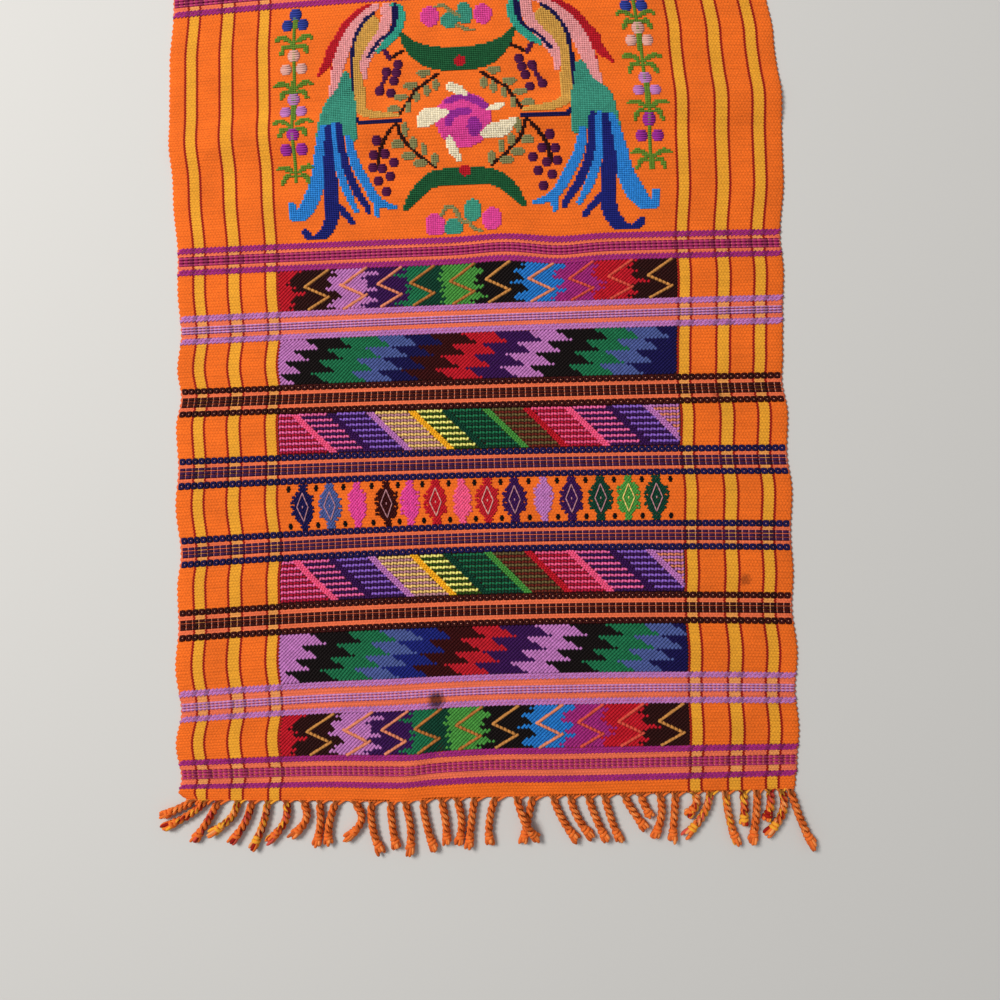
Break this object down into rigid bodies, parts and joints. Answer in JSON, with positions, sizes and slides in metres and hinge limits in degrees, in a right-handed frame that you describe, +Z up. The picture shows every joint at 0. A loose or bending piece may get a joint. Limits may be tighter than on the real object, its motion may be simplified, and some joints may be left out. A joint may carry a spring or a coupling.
{
  "type": "woven table runner",
  "caption": "Long hand-woven cotton table runner lying flat, with bands of brocade patterns across it and a twisted cord fringe at both ends.",
  "frame": {"origin": "middle of the runner's footprint, on the surface that it lies on", "axes": "+Y along the runner away from the near fringe, +X to the right seen from the near end, +Z up out of the cloth's face"},
  "size_m": [0.4572, 1.677, 0.0112],
  "materials": {
    "woven_cotton": "matte weft-faced cotton weave with raised brocade floats",
    "twisted_cotton": "matte two-ply twisted cotton cord"
  },
  "bodies": {
    "root": {"cloth": "woven_cotton", "fringe_front": "twisted_cotton", "fringe_back": "twisted_cotton"}
  },
  "joints": []
}
